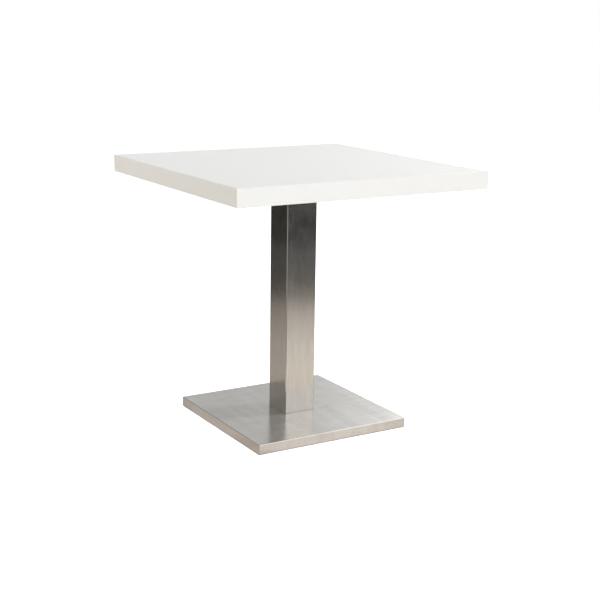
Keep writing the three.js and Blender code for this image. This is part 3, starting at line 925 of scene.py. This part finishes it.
def studio_floor():
    """Three discs. The camera sees a plain white floor. Just below it, one lights the underside
    as the floor would, and the steel mirrors another: warm and bright near the table, dark past
    the paper's edge, grey far away."""
    paint = Finish("pale_floor", Roughness=0.9, Specular_IOR_Level=0.0)
    paint.set("Base Color", (0.80, 0.80, 0.80, 1))
    paint.set("Emission Color", (1, 1, 1, 1))
    # the floor doesn't glow under the base, so the gap below the skirt stays dark
    low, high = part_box("base_cover")
    out = paint.node("ShaderNodeSeparateXYZ", {"Vector": paint.place()}).outputs
    reach_x = paint.sum(out["X"], 0.0, "ABSOLUTE")
    reach_y = paint.sum(out["Y"], 0.0, "ABSOLUTE")
    reach = paint.sum(reach_x, reach_y, "MAXIMUM")
    paint.set("Emission Strength", paint.span(reach, 0.0, 1.0, high.x - 2 * MM, high.x + MM))
    floor = stage_object("floor", disc(FLOOR_RADIUS, 0.0), paint.material)
    floor.visible_diffuse = False
    floor.visible_glossy = False

    bounce = disc(FLOOR_RADIUS, -BOUNCE_DEPTH)
    stage_surface("floor_bounce", bounce, (1, 0.965, 0.915), FLOOR_BOUNCE, diffuse=True)

    paper = disc(FLOOR_RADIUS, -SWEEP_DEPTH)
    sweep = stage_surface("paper_sweep", paper, (1, 1, 1), 1.0, glossy=True)
    tree = sweep.data.materials[0].node_tree
    place = tree.nodes.new("ShaderNodeTexCoord").outputs["Object"]
    axes = tree.nodes.new("ShaderNodeSeparateXYZ")
    tree.links.new(place, axes.inputs["Vector"])
    distance = tree.nodes.new("ShaderNodeVectorMath")
    distance.operation = "LENGTH"
    tree.links.new(place, distance.inputs[0])
    share = tree.nodes.new("ShaderNodeMath")
    share.operation = "DIVIDE"
    share.inputs[1].default_value = SWEEP_RANGE
    tree.links.new(distance.outputs["Value"], share.inputs[0])
    stops = [(reach / SWEEP_RANGE, tuple(level * t for t in tint)) for reach, level, tint in SWEEP_LEVELS]
    turn = azimuth(tree, axes)
    outward = ramp(tree, share.outputs["Value"], stops)
    shaded = mixed(tree, 1.0, outward, round_ramp(tree, turn, SWEEP_SHADE), "MULTIPLY")
    sector = tree.nodes.new("ShaderNodeMath")
    sector.operation = "MULTIPLY"
    tree.links.new(round_ramp(tree, turn, PAPER_SECTOR), sector.inputs[0])
    tree.links.new(smooth_rise(tree, distance.outputs["Value"], *PAPER_STARTS), sector.inputs[1])
    colour = mixed(tree, sector.outputs["Value"], shaded, (*PAPER, 1))
    tree.links.new(colour, tree.nodes["Emission"].inputs["Color"])


def studio_world():
    """The surroundings, which only reflections see. They are three bands round the table: near
    the horizon, above it and high up. Behind on the right is a large soft light, and the left
    is in shade."""
    world = bpy.data.worlds.new("studio")
    scene.world = world
    world.use_nodes = True
    world.cycles_visibility.diffuse = False
    tree = world.node_tree
    axes = tree.nodes.new("ShaderNodeSeparateXYZ")
    tree.links.new(tree.nodes.new("ShaderNodeTexCoord").outputs["Generated"], axes.inputs["Vector"])
    turn = azimuth(tree, axes)
    bands = (HORIZON_LEVELS, SKY_LEVELS, HIGH_LEVELS)
    near, sky, high = (round_ramp(tree, turn, levels) for levels in bands)
    height = axes.outputs["Z"]
    lower = mixed(tree, smooth_rise(tree, height, *SKY_STARTS), near, sky)
    colour = mixed(tree, smooth_rise(tree, height, *HIGH_STARTS), lower, high)
    tree.links.new(colour, tree.nodes["Background"].inputs["Color"])


def stage():
    studio_floor()
    studio_world()
    dome = bmesh.new()
    bmesh.ops.create_icosphere(dome, subdivisions=4, radius=BACKDROP_RADIUS)
    stage_surface("backdrop", dome, (1, 1, 1), 1.0, camera=True)
    area_light("overhead_softbox", at=(0.2, -0.2, 4.2), size=(2.4, 2.4), power=40, aim=(0, 0, 0.78))
    area_light("right_softbox", at=(5.3, -1.25, 4.5), size=(0.9, 0.9), power=356, aim=(0, 0, 0.4))
    area_light("front_softbox", at=(-0.3, -4.2, 1.5), size=(2.2, 2.2), power=100, aim=(0, 0, 0.7),
               colour=(0.91, 0.95, 1.0))
    area_light("back_left_softbox", at=(-1.85, 2.05, 2.95), size=(2.2, 1.7), power=40, aim=(0, 0, 0.1))
    area_light("left_fill", at=(-3.8, 0.4, 1.3), size=(2.2, 2.2), power=38, aim=(0, 0, 0.7),
               colour=(1.0, 0.97, 0.88))


def camera():
    """The view: yaw to the left of the front, a slight look down, and a hint of roll."""
    yaw, pitch, roll = (math.radians(a) for a in (30.895, 13.438, -0.818))
    distance, aim_height, aim_shift, lens = 3.6131, 0.3670, 0.02226, 72.13
    forward = Vector((math.sin(yaw) * math.cos(pitch), math.cos(yaw) * math.cos(pitch), -math.sin(pitch)))
    right = Vector((math.cos(yaw), -math.sin(yaw), 0))
    down = forward.cross(right)
    rolled_right = math.cos(roll) * right + math.sin(roll) * down
    rolled_down = -math.sin(roll) * right + math.cos(roll) * down
    data = bpy.data.cameras.new("camera")
    data.sensor_width = 36.0
    data.lens = lens
    data.clip_end = 100.0
    view = bpy.data.objects.new("camera", data)
    scene.collection.objects.link(view)
    axes = Matrix((rolled_right, -rolled_down, -forward)).transposed()
    view.matrix_world = axes.to_4x4()
    view.location = Vector((0, 0, aim_height)) - forward * distance + rolled_right * aim_shift
    scene.camera = view


tabletop()
support()
column()
seat()
cover()
ballast()
glides()
stage()
camera()
scene.view_settings.view_transform = "Standard"
